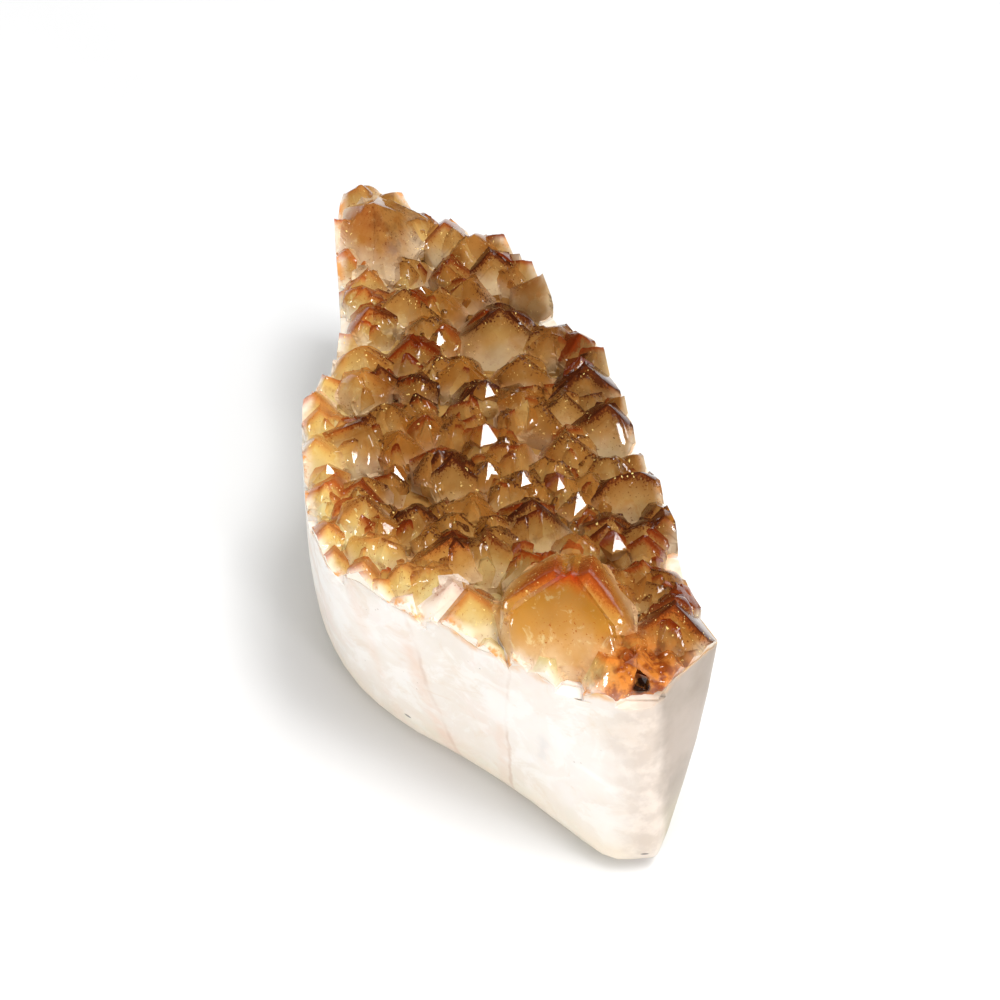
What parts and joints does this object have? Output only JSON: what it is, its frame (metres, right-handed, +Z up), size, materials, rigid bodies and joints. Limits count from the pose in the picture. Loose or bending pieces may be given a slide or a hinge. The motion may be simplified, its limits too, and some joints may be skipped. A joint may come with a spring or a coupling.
{
  "type": "citrine cluster",
  "caption": "Free-standing citrine cluster: a crust of short grown-together quartz points on a milky quartz slab with ground, polished sides and a flat foot.",
  "frame": {"origin": "middle of the bounding box in plan, on the plane of the flat foot", "axes": "+X along the length, towards the end with the largest point; +Z up, the way the points grow; -Y towards the bulging polished side"},
  "size_m": [0.142, 0.065, 0.0604],
  "materials": {
    "citrine": "polished"
  },
  "bodies": {
    "root": {"citrine_cluster": "citrine"}
  },
  "joints": []
}
